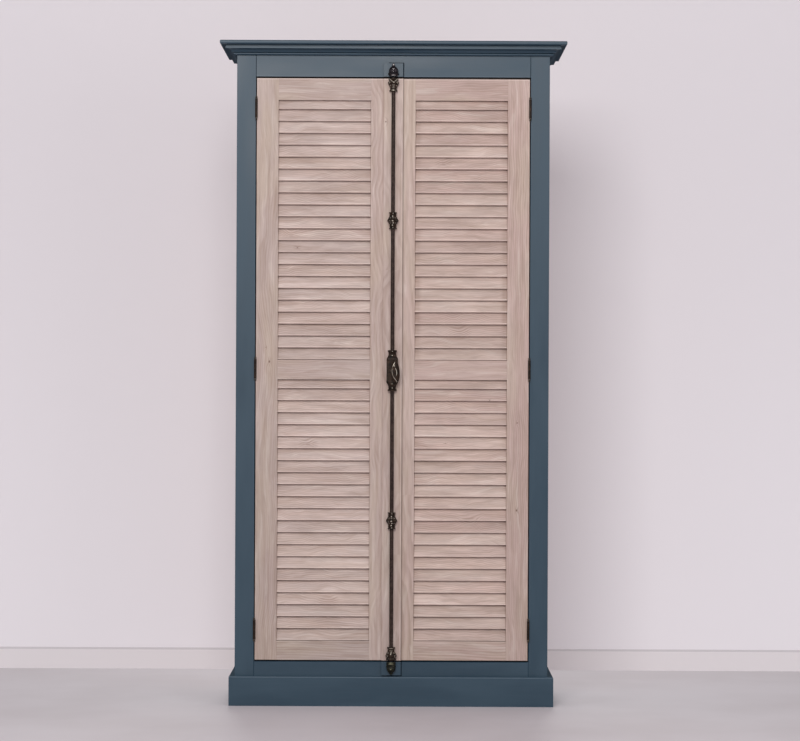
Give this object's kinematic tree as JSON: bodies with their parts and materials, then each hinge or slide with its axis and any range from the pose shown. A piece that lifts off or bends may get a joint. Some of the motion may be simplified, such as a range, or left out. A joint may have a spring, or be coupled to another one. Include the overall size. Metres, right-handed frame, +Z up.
{
  "type": "louvred door cabinet",
  "caption": "Tall cabinet with paired louvred doors, moulded cornice, plinth and a full-height surface bolt worked by an oval knob.",
  "frame": {"origin": "on the floor, midway across the overall width and the overall depth", "axes": "+Z up, the front with the doors faces -Y, +X to the right seen from the front"},
  "size_m": [1.094, 0.452, 2.1],
  "materials": {
    "paint": "blue-grey satin paint on wood",
    "pine": "whitewashed pine, matt",
    "plain_pine": "limed pine boards, matt",
    "bronze": "dark antique bronze, worn on the high spots",
    "steel": "plain mild steel"
  },
  "bodies": {
    "cabinet": {"back_boards": "plain_pine", "bolt_keepers": "bronze", "bottom_board": "plain_pine", "bottom_keeper_block": "paint", "cornice_front": "paint", "cornice_left_return": "paint", "cornice_right_return": "paint", "door_stop_bottom": "paint", "door_stop_top": "paint", "frame_bottom_rail": "paint", "frame_top_rail": "paint", "glue_blocks": "plain_pine", "hinge_frame_leaves": "bronze", "hinge_pins": "bronze", "left_frame_stile": "paint", "left_side_panel": "paint", "plinth_front": "paint", "plinth_left_return": "paint", "plinth_right_return": "paint", "right_frame_stile": "paint", "right_side_panel": "paint", "shelf_1": "plain_pine", "shelf_2": "plain_pine", "shelf_3": "plain_pine", "shelf_4": "plain_pine", "shelf_cleats": "plain_pine", "top_board": "plain_pine", "top_keeper_block": "paint"},
    "left_door": {"left_door_bottom_rail": "pine", "left_door_hinge_stile": "pine", "left_door_lower_louvres": "pine", "left_door_meeting_stile": "pine", "left_door_middle_rail": "pine", "left_door_top_rail": "pine", "left_door_upper_louvres": "pine", "astragal": "pine", "left_hinge_leaves": "bronze", "end_guides": "bronze", "rod_guides": "bronze", "bolt_case": "bronze", "bolt_back_plate": "steel"},
    "right_door": {"right_door_bottom_rail": "pine", "right_door_hinge_stile": "pine", "right_door_lower_louvres": "pine", "right_door_meeting_stile": "pine", "right_door_middle_rail": "pine", "right_door_top_rail": "pine", "right_door_upper_louvres": "pine", "right_hinge_leaves": "bronze"},
    "knob": {"knob": "bronze", "drive_pinion": "steel"},
    "upper_rod": {"upper_rod": "bronze", "upper_rack": "steel"},
    "lower_rod": {"lower_rod": "bronze", "lower_rack": "steel"}
  },
  "joints": [
    {"name": "left_door_swing", "type": "hinge", "parent": "cabinet", "child": "left_door", "pos_m": [-0.4334, -0.1784, 1.065], "axis": [0, 0, -1], "range_deg": [0, 170]},
    {"name": "right_door_swing", "type": "hinge", "parent": "cabinet", "child": "right_door", "pos_m": [0.4334, -0.1784, 1.065], "axis": [0, 0, 1], "range_deg": [0, 170]},
    {"name": "knob_turn", "type": "hinge", "parent": "left_door", "child": "knob", "pos_m": [0, -0.1895, 1.061], "axis": [0, 1, 0], "range_deg": [0, 90]},
    {"name": "upper_rod_slide", "type": "slide", "parent": "left_door", "child": "upper_rod", "axis": [0, 0, 1], "range_m": [0, 0.01413]},
    {"name": "lower_rod_slide", "type": "slide", "parent": "left_door", "child": "lower_rod", "axis": [0, 0, -1], "range_m": [0, 0.01413]}
  ],
  "couplings": [
    {"joint": "right_door_swing", "follows": "left_door_swing", "ratio": 1},
    {"joint": "knob_turn", "follows": "upper_rod_slide", "rad_per_m": 111.11},
    {"joint": "lower_rod_slide", "follows": "upper_rod_slide", "ratio": 1}
  ]
}
